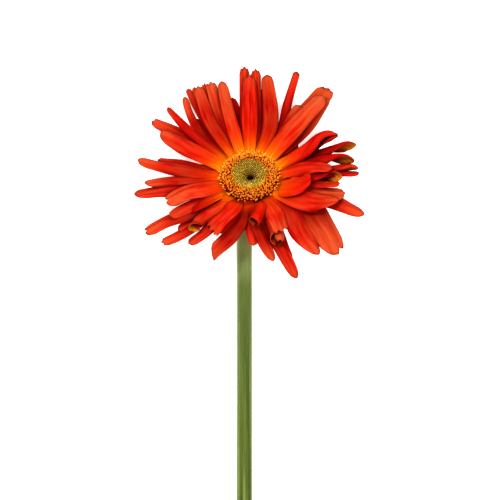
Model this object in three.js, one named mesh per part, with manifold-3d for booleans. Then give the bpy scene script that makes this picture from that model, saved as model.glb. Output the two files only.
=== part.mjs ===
// Cut gerbera, lying on a surface: a leafless stem, a green involucre, three loose rows of
// ray petals, a ring of opened disc florets and a shallow bowl of closed buds in the middle.
// Millimetres, +Z up, +Y from the cut end towards the bloom, origin on the surface
// below the middle of the flower's box.
import * as THREE from 'three';
import { mergeVertices } from 'three/addons/utils/BufferGeometryUtils.js';
import Module from 'manifold-3d';

const wasm = await Module();
wasm.setup();

// Driving dimensions
const totalLength = 400;
const bloomReachUp = 53.9;
const bloomHeight = 36.1;
const bloomTilt = THREE.MathUtils.degToRad(32);
const bladeThickness = 0.7;
const seatGap = 0.3;

const discCentre = new THREE.Vector3(0.24, totalLength / 2 - bloomReachUp, bloomHeight);

const coreRadius = 12.4;
const coreTop = -3.9;
const coreBottom = -7.4;
const petalRootRadius = 11.6;
const petalRimRadius = 14.4;

const buriedRise = { inner: -5.0, middle: -5.5, outer: -6.0 };
const rimRise = { inner: -3.5, middle: -4.2, outer: -5.0 };

const floretRingInner = 8.9;
const floretRingOuter = 13.3;
const floretCount = 72;
const centreRadius = 8.6;

const cupDepth = 9.6;
const cupNeckRadius = 4.3;
const bractRows = [
  { count: 8, from: 0.2, length: 8, width: 3.4, lean: 0.5 },
  { count: 9, from: 2.8, length: 8, width: 3.4, lean: 0.9 },
  { count: 11, from: 5.2, length: 7, width: 3.3, lean: 1.2 },
];

const stemRadius = 3.7;
const stemCutRadius = 3.95;
const stemSideStep = -2.45;
const stemClearance = 0.9;
const neckBendRadius = 35;
const cutSlant = 5;

// The head's own frame has its origin in the disc's middle and +Z along the bloom's axis
const sinTilt = Math.sin(bloomTilt);
const cosTilt = Math.cos(bloomTilt);

// A point of the head: where it lies seen from straight above, and its rise over the disc's plane
function seenFromAbove([x, y, rise]) {
  return new THREE.Vector3(x, (y - rise * sinTilt) / cosTilt, rise);
}

function smooth(from, to, value) {
  return THREE.MathUtils.smoothstep(value, from, to);
}

// Repeatable random numbers between 0 and 1
function seededRandom(seed) {
  let state = seed;
  return () => {
    state = (state * 1664525 + 1013904223) % 4294967296;
    return state / 4294967296;
  };
}

// Solids: closed grids of points, joined where they grow together
function solidFrom(points, triangles) {
  const geometry = new THREE.BufferGeometry();
  geometry.setAttribute('position', new THREE.Float32BufferAttribute(points.flatMap((p) => p.toArray()), 3));
  geometry.setIndex(triangles.flat());
  return solidFromGeometry(geometry);
}

function solidFromGeometry(source) {
  const plain = source.clone();
  plain.deleteAttribute('normal');
  plain.deleteAttribute('uv');
  const merged = mergeVertices(plain, 1e-4);
  return new wasm.Manifold(new wasm.Mesh({
    numProp: 3,
    vertProperties: new Float32Array(merged.attributes.position.array),
    triVerts: new Uint32Array(merged.index.array),
  }));
}

// One body from solids that cross: hollows that the joining seals are filled, scraps dropped
function joined(solids) {
  const bodies = solids.reduce((whole, solid) => whole.add(solid)).decompose();
  return bodies.reduce((largest, body) => (body.volume() > largest.volume() ? body : largest));
}

function geometryOf(solid) {
  const mesh = solid.getMesh();
  const geometry = new THREE.BufferGeometry();
  geometry.setAttribute('position', new THREE.BufferAttribute(new Float32Array(mesh.vertProperties), 3));
  geometry.setIndex(new THREE.BufferAttribute(new Uint32Array(mesh.triVerts), 1));
  geometry.computeVertexNormals();
  return geometry;
}

// A thin closed blade with alike triangles on its upper and lower face
function bladeSolid(rows, normals, thickness) {
  const rowCount = rows.length;
  const columnCount = rows[0].length;
  const points = [];
  for (const side of [0.5, -0.5]) {
    rows.forEach((row, i) => row.forEach((point, j) => {
      points.push(point.clone().addScaledVector(normals[i][j], side * thickness));
    }));
  }
  const upper = (i, j) => i * columnCount + j;
  const lower = (i, j) => rowCount * columnCount + upper(i, j);
  const triangles = [];
  for (let i = 0; i < rowCount - 1; i += 1) {
    for (let j = 0; j < columnCount - 1; j += 1) {
      triangles.push([upper(i, j), upper(i, j + 1), upper(i + 1, j)]);
      triangles.push([upper(i + 1, j), upper(i, j + 1), upper(i + 1, j + 1)]);
      triangles.push([lower(i, j), lower(i + 1, j), lower(i, j + 1)]);
      triangles.push([lower(i + 1, j), lower(i + 1, j + 1), lower(i, j + 1)]);
    }
  }
  const rim = [];
  for (let j = 0; j < columnCount - 1; j += 1) rim.push([0, j]);
  for (let i = 0; i < rowCount - 1; i += 1) rim.push([i, columnCount - 1]);
  for (let j = columnCount - 1; j > 0; j -= 1) rim.push([rowCount - 1, j]);
  for (let i = rowCount - 1; i > 0; i -= 1) rim.push([i, 0]);
  rim.forEach(([i, j], index) => {
    const [nextI, nextJ] = rim[(index + 1) % rim.length];
    triangles.push([upper(i, j), lower(i, j), upper(nextI, nextJ)]);
    triangles.push([upper(nextI, nextJ), lower(i, j), lower(nextI, nextJ)]);
  });
  return solidFrom(points, triangles);
}

// Ray petals. Each grows from the receptacle's rim through the places given, seen from
// straight above in mm from the disc's middle, with the rise over the disc's plane.
// roll is how far the blade is arched across, in degrees, at its foot and near its tip:
// edges turned back for a positive value, turned up into a trough for a negative one.
// twist turns the blade about its own length, from turnFrom of the way out; taper is the
// share of the width left at the end, tip the length of its rounding in widths of the
// petal, and notch the depth in mm of the nick in it.
const petals = [
  { row: 'inner', width: 7.6, roll: [60, 110], path: [[0, 31, 1.5], [0, 48.5, 2]] },
  { row: 'outer', width: 5.7, roll: [60, 110], path: [[-2, 33, -3], [-2.5, 53.5, 0]] },
  { row: 'middle', width: 5.7, roll: [60, 90], path: [[3, 32, -4], [3, 52.5, -0.5]] },
  { row: 'outer', width: 4, roll: [60, 90], path: [[1.5, 30, -10], [1.5, 50, -2]] },
  { row: 'middle', width: 7.4, roll: [60, 130], path: [[10, 24.5, -0.5], [8.5, 49, 0.5]] },
  {
    row: 'outer', width: 4.8, roll: [100, 190], taper: 0.7,
    path: [[15.5, 23.5, -4], [18.5, 36, -4], [23, 51, -3]],
  },
  { row: 'inner', width: 9.5, roll: [50, 90], tip: 0.7, path: [[25.3, 28, 1], [35.6, 38.8, 0]] },
  { row: 'middle', width: 6, roll: [50, 80], tip: 0.5, path: [[16, 22.5, -3], [23.3, 33, -3]] },
  { row: 'outer', width: 11, roll: [40, -40], tip: 0.5, path: [[26, 28.3, -5], [38.5, 42.9, -7.28]] },
  { row: 'outer', width: 5, roll: [60, 130], path: [[25.2, 20.2, -4], [38, 37.8, -6]] },
  {
    row: 'inner', width: 6.8, roll: [50, 220], twist: 55, taper: 0.7,
    path: [[21.5, 10, -0.5], [29.5, 15.8, 0.5], [36, 19, 0.5], [42.3, 20.5, 0]],
  },
  {
    row: 'outer', width: 6.8, roll: [90, 210], twist: 112, turnFrom: 0.4, taper: 0.8, tip: 1.1,
    path: [[27, 9, -4], [38.5, 13.3, -4], [47, 15.2, -4.5], [51, 13.6, -6]],
  },
  {
    row: 'middle', width: 6.8, roll: [90, 210], twist: 115, turnFrom: 0.4, taper: 0.85, tip: 1,
    path: [[28, 6, -3], [38.5, 9, -3], [46, 8.6, -3.5], [49.6, 6, -5]],
  },
  {
    row: 'middle', width: 4.2, roll: [80, 210], twist: 112, turnFrom: 0.5, taper: 0.9, tip: 0.8,
    path: [[36, 3.2, -5], [46, 4.2, -5], [50, 4.2, -4.5], [51.7, 3, -5]],
  },
  { row: 'outer', width: 4.8, roll: [60, 120], tip: 1.2, path: [[36, 1.5, -6], [52.5, 1.3, -8]] },
  {
    row: 'inner', width: 7.6, roll: [60, 110], tip: 1.1,
    path: [[24, 3.5, 0], [32.5, 4.5, 0.5], [39.5, 3.2, -0.5]],
  },
  {
    row: 'inner', width: 11.5, roll: [50, 80], taper: 0.6, tip: 1.5,
    path: [[19.5, -5, 1.5], [26, -3, 2.3], [31.2, 1.6, 2.5]],
  },
  {
    row: 'middle', width: 7.6, roll: [90, 200], twist: 135, turnFrom: 0.3, taper: 0.95, tip: 0.9,
    path: [[32.5, 0, -5], [39, 0.8, -5], [43.6, -1.8, -6]],
  },
  { row: 'outer', width: 4.4, roll: [60, 100], path: [[32.5, -4, -3.5], [43, -4, -2.5]] },
  {
    row: 'inner', width: 11.2, roll: [40, 60], taper: 0.75, tip: 1.2,
    path: [[27.5, -12, -1], [42.3, -11.8, -4]],
  },
  { row: 'outer', width: 6.2, roll: [30, 40], taper: 0.9, tip: 0.2, path: [[24, -14, -6], [33, -16, -8]] },
  { row: 'outer', width: 6.7, roll: [50, 80], tip: 0.4, path: [[32.5, -8, -4], [45.5, -8.3, -7]] },
  {
    row: 'outer', width: 8.4, roll: [60, 140], taper: 0.6, tip: 2.2,
    path: [[38.5, -11, -9], [47, -15, -10], [54.5, -19, -12]],
  },
  {
    row: 'outer', width: 15, roll: [20, 50], taper: 0.9, tip: 0.6, notch: 1.6,
    path: [[27, -14, -7], [34, -23, -10.5], [41.8, -37.6, -14.8]],
  },
  {
    row: 'middle', width: 10.8, roll: [40, 90], taper: 0.75, tip: 1.6,
    path: [[19, -14.5, -3.5], [24, -26, -8], [32.8, -37.7, -14]],
  },
  {
    row: 'inner', width: 8.6, roll: [50, 70], taper: 0.95, tip: 0.2,
    path: [[12, -18.5, -3], [15.5, -27, -7]],
  },
  {
    row: 'middle', width: 5.4, roll: [60, 260], taper: 0.9, tip: 0.3,
    path: [[11, -20.5, -9], [13.3, -26, -11], [13.5, -29.6, -12], [13.2, -30.4, -15]],
  },
  {
    row: 'outer', width: 6.4, roll: [60, 130], tip: 1.8,
    path: [[9, -24, -11], [16, -36.5, -17], [22.5, -49, -25]],
  },
  { row: 'outer', width: 5.2, roll: [50, 90], path: [[12.5, -23.5, -12], [19.5, -40, -22]] },
  {
    row: 'outer', width: 6.2, roll: [60, 130], tip: 1.8,
    path: [[3.7, -24, -13], [7, -32, -16], [11.5, -40.7, -21]],
  },
  { row: 'outer', width: 6.7, roll: [50, 80], path: [[1, -22, -13], [2, -33.5, -17]] },
  {
    row: 'inner', width: 7.6, roll: [60, 250], twist: -25, taper: 0.75, tip: 0.2,
    path: [[4.4, -14.5, -2], [3.8, -19, -2], [2.6, -23, -2.5]],
  },
  {
    row: 'outer', width: 8.4, roll: [60, 90], twist: 60, turnFrom: 0.5, taper: 1.1, tip: 2,
    path: [[-6.5, -18, -9], [-12, -28.5, -15], [-15.5, -34.5, -18], [-18.5, -42, -23]],
  },
  { row: 'middle', width: 4.8, roll: [50, 80], path: [[-5.5, -14, -5], [-9.5, -21, -8], [-15, -27.5, -11]] },
  {
    row: 'inner', width: 8.1, roll: [50, 60], taper: 1.15, tip: 0.15,
    path: [[-9, -14.5, -2], [-14, -20.5, -4.5], [-19, -26.5, -8]],
  },
  {
    row: 'inner', width: 7, roll: [60, 180], twist: -130, turnFrom: 0.75, taper: 0.9, tip: 0.5,
    path: [[-13, -14, -3.5], [-20.5, -18, -5.5], [-25.5, -21.8, -7.5], [-27.8, -26.4, -9]],
  },
  { row: 'outer', width: 6.2, roll: [50, 90], path: [[-16, -21, -9], [-22, -27.5, -13], [-29, -32.5, -16]] },
  { row: 'outer', width: 5.7, roll: [60, 90], path: [[-26, -24, -10], [-35, -29, -14], [-42, -32, -17]] },
  {
    row: 'middle', width: 4.4, roll: [60, 60], twist: 170, turnFrom: 0, tip: 1.2,
    path: [[-17, -11, -2.5], [-23.5, -14.2, -3], [-28.6, -17.3, -6]],
  },
  {
    row: 'outer', width: 7.6, roll: [50, 90], notch: 2,
    path: [[-30.5, -18, -7], [-40, -22, -11], [-50, -27.5, -15]],
  },
  {
    row: 'middle', width: 6.7, roll: [60, 90],
    path: [[-22, -11.5, -3.5], [-30, -15.5, -5.5], [-38, -19.5, -8]],
  },
  {
    row: 'inner', width: 9, roll: [50, 80], tip: 0.6, notch: 2,
    path: [[-19.5, -6, -1.5], [-28.5, -7.5, -2], [-40, -13, -5]],
  },
  {
    row: 'outer', width: 7.1, roll: [60, 120], tip: 1.2,
    path: [[-33, -6, -5], [-45, -7.5, -7], [-55, -9, -9]],
  },
  {
    row: 'middle', width: 5.7, roll: [60, 140], tip: 1.2,
    path: [[-28.5, -1.5, -3], [-40.5, -2.5, -5], [-50, -3.8, -6]],
  },
  {
    row: 'middle', width: 6.7, roll: [60, 130], tip: 1.2,
    path: [[-28.5, 2, -2.5], [-43, 5, -5], [-53.5, 7.7, -7]],
  },
  { row: 'outer', width: 5.2, roll: [50, 80], path: [[-28.5, 5, -5], [-44, 7.5, -8]] },
  { row: 'inner', width: 8.8, roll: [50, 120], tip: 0.9, path: [[-28.5, 13, 0], [-42.5, 21, -3]] },
  { row: 'outer', width: 6.7, roll: [60, 120], notch: 1.6, path: [[-31.5, 19.5, -4], [-47, 27, -7]] },
  {
    row: 'middle', width: 4.5, roll: [60, 160], taper: 0.7, tip: 1.2,
    path: [[-21.5, 15.5, -0.5], [-30, 23, -1], [-39.5, 33, -3]],
  },
  {
    row: 'outer', width: 4.3, roll: [60, 150], tip: 1.2,
    path: [[-22, 18.5, -4], [-28.5, 29.5, -5], [-31.5, 38.5, -6]],
  },
  { row: 'outer', width: 3.8, roll: [60, 110], path: [[-19, 22.5, -5], [-26, 34.5, -6], [-30, 43, -7]] },
  { row: 'outer', width: 3.8, roll: [60, 90], path: [[-20.5, 26.5, -5], [-27, 43.5, -7.5]] },
  { row: 'middle', width: 6.2, roll: [50, 100], path: [[-18.5, 26, -1], [-25, 43.5, -3]] },
  { row: 'outer', width: 4.3, roll: [60, 90], path: [[-17, 29, -4], [-22, 45.5, -5]] },
  { row: 'middle', width: 7.1, roll: [50, 80], tip: 0.4, path: [[-13.5, 27, -2.5], [-19, 46, -1.5]] },
  { row: 'inner', width: 6.4, roll: [60, 110], tip: 0.9, path: [[-9, 27, 1.5], [-13.5, 46, 0]] },
  { row: 'outer', width: 5.7, roll: [60, 100], path: [[-5, 26, -6], [-8.5, 38, -6]] },
  { row: 'outer', width: 5.5, roll: [50, 80], path: [[-20, 19.5, -5], [-26.5, 27.5, -7]] },
  { row: 'outer', width: 4.5, roll: [50, 80], path: [[6.5, 28, -5], [6.5, 43, -4]] },
  { row: 'outer', width: 6, roll: [50, 80], path: [[19, 12, -5], [23, 15, -6]] },
  { row: 'outer', width: 6, roll: [50, 80], path: [[-3.5, -19, -11], [-4, -27, -15]] },
  { row: 'outer', width: 6, roll: [50, 80], path: [[-24, -20, -9], [-34, -26, -13]] },
  { row: 'outer', width: 6, roll: [50, 80], path: [[28, -10, -6], [38, -12.5, -8]] },
];

const petalSteps = 5;
const petalFootShare = 0.6;

const commonPetal = { twist: 0, turnFrom: 0.2, taper: 0.8, tip: 0.75, notch: 0 };

function petalSolid(shape) {
  const { row, width, roll, path, twist, turnFrom, taper, tip, notch } = { ...commonPetal, ...shape };
  const along = path.map(seenFromAbove);
  const outward = new THREE.Vector3(along[0].x, along[0].y, 0).normalize();
  const root = outward.clone().multiplyScalar(petalRootRadius).setZ(buriedRise[row]);
  const rim = outward.clone().multiplyScalar(petalRimRadius).setZ(rimRise[row]);
  const spine = new THREE.CatmullRomCurve3([root, rim, ...along], false, 'centripetal');
  const length = spine.getLength();
  const tipShare = Math.min((tip * width) / length, 0.4);
  const columns = width > 7 || roll[1] > 180 ? [-1, -0.5, 0, 0.5, 1] : [-1, 0, 1];
  const normalAt = new THREE.Vector3(0, 0, 1);
  const frames = [];
  const frameSteps = petalSteps * 4;
  for (let k = 0; k <= frameSteps; k += 1) {
    const tangent = spine.getTangentAt(k / frameSteps);
    normalAt.addScaledVector(tangent, -normalAt.dot(tangent)).normalize();
    frames.push({ tangent, normal: normalAt.clone() });
  }
  const rows = [];
  const normals = [];
  for (let i = 0; i <= petalSteps; i += 1) {
    rows.push([]);
    normals.push([]);
    for (const u of columns) {
      const rounding = 1 - Math.sqrt(1 - Math.min(Math.abs(u), 0.97) ** 2.2);
      const reach = 1 - tipShare * rounding - (u === 0 ? notch / length : 0);
      const t = (i / petalSteps) * reach;
      const { tangent, normal } = frames[Math.round(t * frameSteps)];
      const sideways = new THREE.Vector3().crossVectors(tangent, normal);
      const fullness = petalFootShare + (1 - petalFootShare) * smooth(0, 0.42, t);
      const chord = width * fullness * (1 - (1 - taper) * smooth(0.5, 1, t));
      const arch = THREE.MathUtils.degToRad(roll[0] + (roll[1] - roll[0]) * smooth(0.1, 0.9, t));
      const half = Math.abs(arch) / 2;
      const radius = (Math.sign(arch) * chord) / 2 / Math.sin(Math.min(half, Math.PI / 2));
      const angle = u * half * Math.sign(arch);
      const across = radius * Math.sin(angle);
      const lift = radius * (Math.cos(angle) - 1) + 0.4 * radius * (1 - Math.cos(half));
      const turn = THREE.MathUtils.degToRad(twist) * smooth(turnFrom, 0.95, t);
      const cosTurn = Math.cos(turn);
      const sinTurn = Math.sin(turn);
      const place = (side, up, origin) => origin
        .addScaledVector(sideways, side * cosTurn - up * sinTurn)
        .addScaledVector(normal, side * sinTurn + up * cosTurn);
      rows[i].push(place(across, lift, spine.getPointAt(t)));
      normals[i].push(place(Math.sin(angle), Math.cos(angle), new THREE.Vector3()));
    }
  }
  return bladeSolid(rows, normals, bladeThickness);
}

// The receptacle's core, which the petals' feet are sunk into
function petalCore() {
  const profile = [
    new THREE.Vector2(0, coreBottom),
    new THREE.Vector2(coreRadius, coreBottom),
    new THREE.Vector2(coreRadius, coreTop),
    new THREE.Vector2(0, coreTop),
  ];
  return latheSolid(profile, 24);
}

function latheSolid(profile, segments) {
  const geometry = new THREE.LatheGeometry(profile, segments);
  geometry.rotateX(Math.PI / 2);
  return solidFromGeometry(geometry);
}

// Disc florets: a ring that carries rows of small four-sided tubes leaning outward
function floretBed(radius) {
  const share = (radius - floretRingInner) / (floretRingOuter - floretRingInner);
  return 0.9 - 2.1 * share ** 1.6;
}

function floretSolid(angle, radius, size, height) {
  const outward = new THREE.Vector3(Math.cos(angle), Math.sin(angle), 0);
  const share = (radius - floretRingInner) / (floretRingOuter - floretRingInner);
  const lean = THREE.MathUtils.degToRad(-6 + 46 * share);
  const direction = outward.clone().multiplyScalar(Math.sin(lean)).setZ(Math.cos(lean));
  const foot = outward.clone().multiplyScalar(radius).setZ(floretBed(radius));
  foot.addScaledVector(direction, -0.7);
  const geometry = new THREE.CylinderGeometry(size * 0.34, size * 0.5, height + 0.7, 4);
  geometry.rotateX(Math.PI / 2);
  geometry.rotateZ(angle * 3.7);
  geometry.translate(0, 0, (height + 0.7) / 2);
  const turn = new THREE.Quaternion().setFromUnitVectors(new THREE.Vector3(0, 0, 1), direction);
  geometry.applyQuaternion(turn);
  geometry.translate(foot.x, foot.y, foot.z);
  return solidFromGeometry(geometry);
}

function discFlorets() {
  const bottom = coreTop + seatGap;
  const profile = [new THREE.Vector2(floretRingInner, bottom), new THREE.Vector2(coreRadius - 0.4, bottom)];
  profile.push(new THREE.Vector2(floretRingOuter, bottom + 1.5));
  for (const share of [1, 0.5, 0]) {
    const radius = floretRingInner + share * (floretRingOuter - floretRingInner);
    profile.push(new THREE.Vector2(radius, floretBed(radius)));
  }
  profile.push(profile[0].clone());
  const solids = [latheSolid(profile, 20)];
  const random = seededRandom(7);
  const goldenAngle = Math.PI * (3 - Math.sqrt(5));
  const innerFirst = floretRingInner + 0.6;
  const outerLast = floretRingOuter - 0.3;
  for (let k = 0; k < floretCount; k += 1) {
    const share = (k + 0.5) / floretCount;
    const radius = Math.sqrt(innerFirst ** 2 + share * (outerLast ** 2 - innerFirst ** 2));
    solids.push(floretSolid(k * goldenAngle, radius, 1.2 + 0.25 * random(), 1.5 + 0.9 * random()));
  }
  return joined(solids);
}

// Disc centre: a shallow bowl with a dimple, raised in the spiral pattern of its closed buds
function centreHeight(radius, angle) {
  const share = radius / centreRadius;
  const bowl = 2.0 - 2.2 * (1 - share ** 2);
  const dimple = 2.0 * Math.exp(-((radius / 2) ** 2));
  const buds = 0.16 * Math.sin(13 * angle + 2.4 * radius) * Math.sin(21 * angle - 1.7 * radius);
  return bowl - dimple + buds * smooth(0.1, 0.4, share);
}

function discCentreSolid() {
  const rings = 7;
  const spokes = 39;
  const bottom = coreTop + seatGap;
  const points = [new THREE.Vector3(0, 0, centreHeight(0, 0))];
  for (let i = 1; i <= rings; i += 1) {
    const radius = (centreRadius * i) / rings;
    for (let j = 0; j < spokes; j += 1) {
      const angle = (2 * Math.PI * j) / spokes;
      points.push(new THREE.Vector3(
        radius * Math.cos(angle),
        radius * Math.sin(angle),
        centreHeight(radius, angle),
      ));
    }
  }
  const ring = (i, j) => 1 + (i - 1) * spokes + (j % spokes);
  const rimBelow = points.length;
  for (let j = 0; j < spokes; j += 1) {
    const angle = (2 * Math.PI * j) / spokes;
    points.push(new THREE.Vector3(centreRadius * Math.cos(angle), centreRadius * Math.sin(angle), bottom));
  }
  const centreBelow = points.length;
  points.push(new THREE.Vector3(0, 0, bottom));
  const triangles = [];
  for (let j = 0; j < spokes; j += 1) {
    triangles.push([0, ring(1, j), ring(1, j + 1)]);
    for (let i = 1; i < rings; i += 1) {
      triangles.push([ring(i, j), ring(i + 1, j), ring(i + 1, j + 1)]);
      triangles.push([ring(i, j), ring(i + 1, j + 1), ring(i, j + 1)]);
    }
    const below = rimBelow + j;
    const nextBelow = rimBelow + ((j + 1) % spokes);
    triangles.push([ring(rings, j), below, nextBelow]);
    triangles.push([ring(rings, j), nextBelow, ring(rings, j + 1)]);
    triangles.push([centreBelow, nextBelow, below]);
  }
  return solidFrom(points, triangles);
}

// Involucre: the receptacle's green cup with three rows of narrow bracts lying along it
const cupTop = coreBottom - seatGap;
const cupBottom = cupTop - cupDepth;

function cupRadius(height) {
  const swell = Math.sin((Math.PI / 2) * (height / cupDepth)) ** 0.9;
  return cupNeckRadius + (coreRadius - 0.6 - cupNeckRadius) * swell;
}

function bractSolid(angle, { from, length, width, lean }) {
  const outward = new THREE.Vector3(Math.cos(angle), Math.sin(angle), 0);
  const sideways = new THREE.Vector3(-Math.sin(angle), Math.cos(angle), 0);
  const stations = [0, 0.55, 1];
  const spine = stations.map((t) => {
    const height = Math.min(from + t * length * 0.8, cupDepth);
    const radius = cupRadius(height) - 0.6 + (0.6 + lean) * Math.sqrt(t);
    return outward.clone().multiplyScalar(radius).setZ(cupBottom + height);
  });
  const rows = [];
  const normals = [];
  stations.forEach((t, i) => {
    const next = spine[Math.min(i + 1, stations.length - 1)];
    const last = spine[Math.max(i - 1, 0)];
    const tangent = next.clone().sub(last).normalize();
    const normal = new THREE.Vector3().crossVectors(sideways, tangent).normalize();
    const half = (width / 2) * (t === 1 ? 0.22 : 1 - 0.45 * t ** 2);
    rows.push([-1, 0, 1].map((u) => spine[i].clone()
      .addScaledVector(sideways, u * half)
      .addScaledVector(normal, -0.12 * half * Math.abs(u))));
    normals.push([normal, normal, normal]);
  });
  return bladeSolid(rows, normals, bladeThickness);
}

function involucreSolid() {
  const profile = [new THREE.Vector2(0, cupBottom)];
  for (const share of [0, 0.2, 0.5, 1]) {
    profile.push(new THREE.Vector2(cupRadius(share * cupDepth), cupBottom + share * cupDepth));
  }
  profile.push(new THREE.Vector2(0, cupTop));
  const solids = [latheSolid(profile, 18)];
  const random = seededRandom(21);
  bractRows.forEach((row) => {
    for (let k = 0; k < row.count; k += 1) {
      const angle = (2 * Math.PI * (k + 0.3 * random())) / row.count;
      solids.push(bractSolid(angle, { ...row, length: row.length * (0.92 + 0.16 * random()) }));
    }
  });
  return joined(solids);
}

// Stem: from the involucre the neck bends down to the surface and runs straight to a slanting cut
function stemRoute() {
  const stations = [];
  const start = { y: (cupBottom - seatGap) * sinTilt, z: (cupBottom - seatGap) * cosTilt };
  const turn = Math.PI / 2 - bloomTilt;
  const straightHeight = stemRadius + stemClearance - bloomHeight;
  const bendDrop = neckBendRadius * (1 - Math.cos(turn));
  const lead = Math.max(start.z - bendDrop - straightHeight, 0) / cosTilt;
  const bendSteps = 10;
  stations.push({ ...start, slope: turn });
  for (let k = 0; k <= bendSteps; k += 1) {
    const slope = turn * (1 - k / bendSteps);
    stations.push({
      y: start.y - lead * sinTilt - neckBendRadius * (Math.sin(turn) - Math.sin(slope)),
      z: start.z - lead * cosTilt - neckBendRadius * (Math.cos(slope) - Math.cos(turn)),
      slope,
    });
  }
  return stations;
}

function stemSolid() {
  const sides = 16;
  const lowestCorner = Math.cos(Math.PI / sides);
  const stations = stemRoute();
  const bendEnd = stations[stations.length - 1];
  const cutY = -totalLength + bloomReachUp;
  const cutZ = stemCutRadius * lowestCorner - bloomHeight;
  const straightSteps = 8;
  for (let k = 1; k <= straightSteps; k += 1) {
    const share = k / straightSteps;
    stations.push({
      y: bendEnd.y + share * (cutY - bendEnd.y),
      z: bendEnd.z + share * (cutZ - bendEnd.z),
      slope: 0,
      cut: k === straightSteps,
    });
  }
  const points = [];
  stations.forEach(({ y, z, slope, cut }) => {
    const along = THREE.MathUtils.clamp((y - stations[0].y) / (cutY - stations[0].y), 0, 1);
    const flare = 1 - smooth(0, 0.02, along);
    const radius = THREE.MathUtils.lerp(stemRadius, stemCutRadius, along)
      + flare * (cupNeckRadius - 0.3 - stemRadius);
    const sideStep = stemSideStep * smooth(0, 0.07, along);
    for (let j = 0; j < sides; j += 1) {
      const angle = (2 * Math.PI * (j + 0.5)) / sides;
      const up = radius * Math.sin(angle);
      const slant = cut ? cutSlant * 0.5 * (1 + Math.sin(angle)) : 0;
      points.push(new THREE.Vector3(
        sideStep + radius * Math.cos(angle),
        y - up * Math.sin(slope) + slant,
        z + up * Math.cos(slope),
      ));
    }
  });
  const triangles = [];
  const last = stations.length - 1;
  const at = (i, j) => i * sides + (j % sides);
  for (let j = 0; j < sides; j += 1) {
    for (let i = 0; i < last; i += 1) {
      triangles.push([at(i, j), at(i + 1, j + 1), at(i + 1, j)]);
      triangles.push([at(i, j), at(i, j + 1), at(i + 1, j + 1)]);
    }
  }
  for (let j = 1; j < sides - 1; j += 1) {
    triangles.push([at(0, 0), at(0, j + 1), at(0, j)]);
    triangles.push([at(last, 0), at(last, j), at(last, j + 1)]);
  }
  return solidFrom(points, triangles);
}

// Assembly
function namedMesh(name, solid, color, roughness) {
  const material = new THREE.MeshStandardMaterial({ color, roughness, metalness: 0 });
  const mesh = new THREE.Mesh(geometryOf(solid), material);
  mesh.name = name;
  return mesh;
}

const head = new THREE.Group();
head.position.copy(discCentre);
head.rotation.x = -bloomTilt;
head.add(namedMesh('involucre', involucreSolid(), 0x6f8443, 0.7));
head.add(namedMesh('ray_petals', joined([petalCore(), ...petals.map(petalSolid)]), 0xe03a1c, 0.55));
head.add(namedMesh('disc_florets', discFlorets(), 0xe07818, 0.6));
head.add(namedMesh('disc_centre', discCentreSolid(), 0xa98f38, 0.7));

const stem = namedMesh('stem', stemSolid(), 0x77833f, 0.65);
stem.position.copy(discCentre);

const flower = new THREE.Group();
flower.add(stem, head);

export default flower;
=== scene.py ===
import math
import random

import bpy
import numpy as np
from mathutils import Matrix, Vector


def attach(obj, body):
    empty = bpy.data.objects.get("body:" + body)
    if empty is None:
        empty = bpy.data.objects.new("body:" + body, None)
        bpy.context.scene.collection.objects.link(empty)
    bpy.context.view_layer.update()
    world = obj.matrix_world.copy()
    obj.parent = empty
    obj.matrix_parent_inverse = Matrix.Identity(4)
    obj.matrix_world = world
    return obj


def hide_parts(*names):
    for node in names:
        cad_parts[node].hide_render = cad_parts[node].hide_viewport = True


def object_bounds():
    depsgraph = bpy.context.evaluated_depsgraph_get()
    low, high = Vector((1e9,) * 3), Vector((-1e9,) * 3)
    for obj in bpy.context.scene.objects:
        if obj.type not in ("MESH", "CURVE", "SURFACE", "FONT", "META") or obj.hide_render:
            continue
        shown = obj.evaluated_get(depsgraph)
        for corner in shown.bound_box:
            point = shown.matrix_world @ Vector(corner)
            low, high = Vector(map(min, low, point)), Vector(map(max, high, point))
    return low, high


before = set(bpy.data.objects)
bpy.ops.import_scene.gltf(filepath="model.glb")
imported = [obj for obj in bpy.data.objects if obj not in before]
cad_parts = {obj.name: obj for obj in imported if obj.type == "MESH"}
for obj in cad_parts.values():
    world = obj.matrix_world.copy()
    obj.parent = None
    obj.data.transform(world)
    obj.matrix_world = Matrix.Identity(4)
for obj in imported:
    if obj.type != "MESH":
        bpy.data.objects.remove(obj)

cad_low, cad_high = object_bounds()


# Camera. The cut flower lies on its stem's cut end and the tips of two petals, with the bloom
# turned up. The camera looks straight down, and the stem runs to the picture's lower edge.
MM = 0.001
bloom_reach_up = 53.9 * MM
bloom_height = 36.1 * MM
disc_aside = 0.24 * MM
disc_middle = np.array([disc_aside, cad_high[1] - bloom_reach_up, cad_low[2] + bloom_height])
picture_side = 238 * MM
picture_middle_from_disc = np.array([0.24, -35.46]) * MM
sensor_width = 36
lens_length = 250
camera_data = bpy.data.cameras.new("camera")
camera_data.sensor_width = sensor_width
camera_data.lens = lens_length
camera = bpy.data.objects.new("camera", camera_data)
camera.location = (
    disc_middle[0] + picture_middle_from_disc[0],
    disc_middle[1] + picture_middle_from_disc[1],
    disc_middle[2] + picture_side * lens_length / sensor_width,
)
bpy.context.collection.objects.link(camera)
bpy.context.scene.camera = camera


# Floor and studio light. A white table top, lit a little from inside so that its shadows stay
# pale, under a soft lamp at the upper left, a larger and weaker one at the lower right, and
# the even light of a white room.
room_light = 0.28
floor_side = 6.0
floor_drop = 0.05 * MM
floor_glow = 0.4


def srgb(red, green, blue):
    """Scene colour of an 8-bit screen colour."""
    channels = np.array([red, green, blue]) / 255
    linear = np.where(channels <= 0.04045, channels / 12.92, ((channels + 0.055) / 1.055) ** 2.4)
    return (*(float(value) for value in linear), 1.0)


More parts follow.
